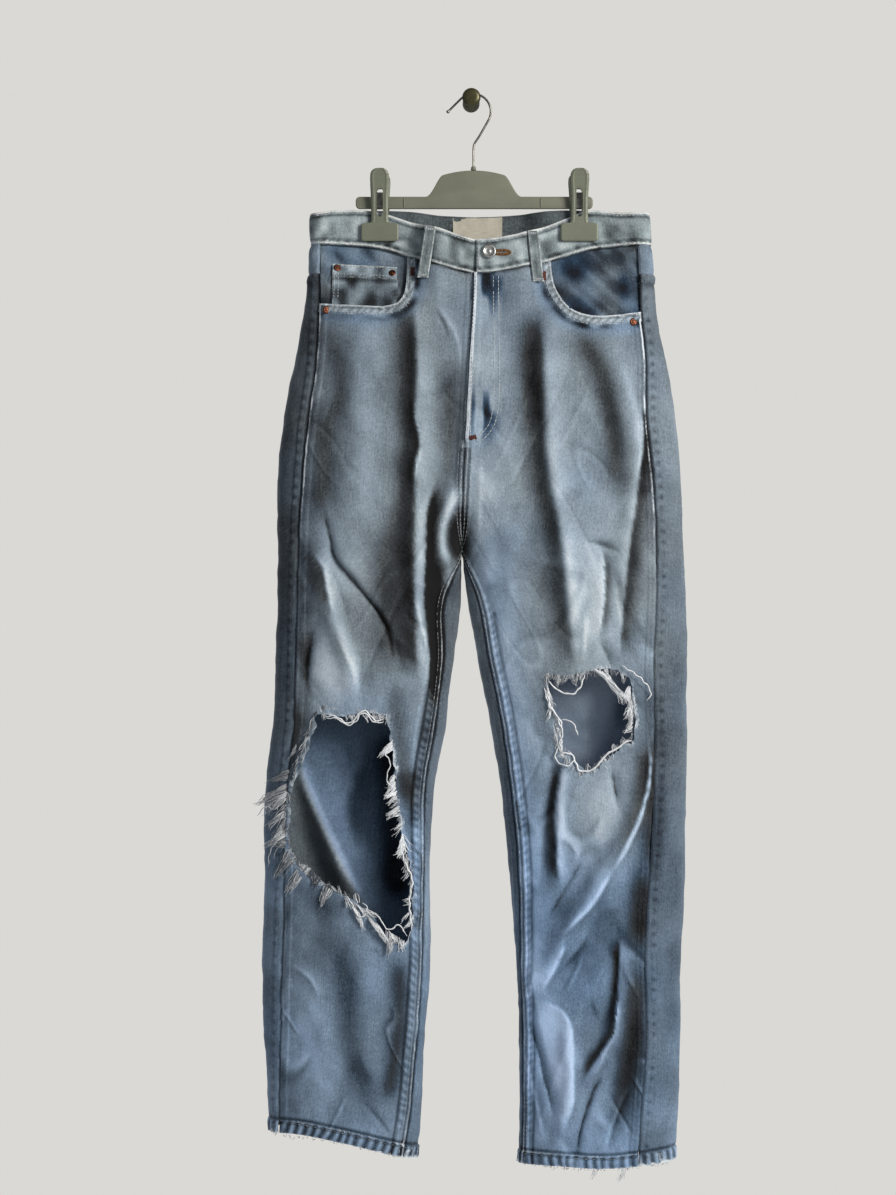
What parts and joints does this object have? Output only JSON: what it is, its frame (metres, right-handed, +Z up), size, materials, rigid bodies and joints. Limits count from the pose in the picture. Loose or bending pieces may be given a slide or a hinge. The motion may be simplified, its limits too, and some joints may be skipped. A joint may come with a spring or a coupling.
{
  "type": "ripped jeans on clip hanger and wall knob",
  "caption": "Straight-leg ripped denim jeans, torn open at both knees, hanging flat from a clip hanger whose wire hook rests on a wall knob.",
  "frame": {"origin": "centre of the wall knob's flat back face, on the wall plane", "axes": "+Z up; +Y out of the part into the wall, so the front of the jeans faces -Y; +X towards the wearer's left"},
  "size_m": [0.4594, 0.0916, 1.167],
  "materials": {
    "denim": "faded and worn blue twill",
    "denim_pale": "paler worn blue twill",
    "denim_facing": "darker unfaded twill",
    "zip_tape": "woven tape",
    "label_cloth": "bare woven label",
    "button_metal": "worn nickel",
    "rivet_copper": "dulled copper",
    "hanger_plastic": "grey-green moulded",
    "hook_steel": "plain",
    "knob_bronze": "dark bronze"
  },
  "bodies": {
    "root": {"front_left": "denim", "front_right": "denim", "front_right_lower": "denim", "back_left": "denim", "back_right": "denim", "yoke_left": "denim", "yoke_right": "denim", "back_pocket_left": "denim", "back_pocket_right": "denim", "waistband_left": "denim_pale", "waistband_right": "denim_pale", "coin_pocket": "denim_pale", "belt_loop_front_left": "denim_pale", "belt_loop_front_right": "denim_pale", "belt_loop_side_left": "denim_pale", "belt_loop_side_right": "denim_pale", "belt_loop_back": "denim_pale", "fly_shield": "denim_facing", "pocket_facing_left": "denim_facing", "pocket_facing_right": "denim_facing", "fly_zip": "zip_tape", "waist_label": "label_cloth", "button": "button_metal", "rivet_coin_outer": "rivet_copper", "rivet_coin_inner": "rivet_copper", "rivet_left": "rivet_copper", "rivet_right": "rivet_copper", "hanger_body": "hanger_plastic", "clip_front_left": "hanger_plastic", "clip_front_right": "hanger_plastic", "clip_back_left": "hanger_plastic", "clip_back_right": "hanger_plastic", "hook_collar": "hanger_plastic", "clip_spring_left": "hook_steel", "clip_spring_right": "hook_steel", "hook": "hook_steel", "wall_knob": "knob_bronze"}
  },
  "joints": []
}
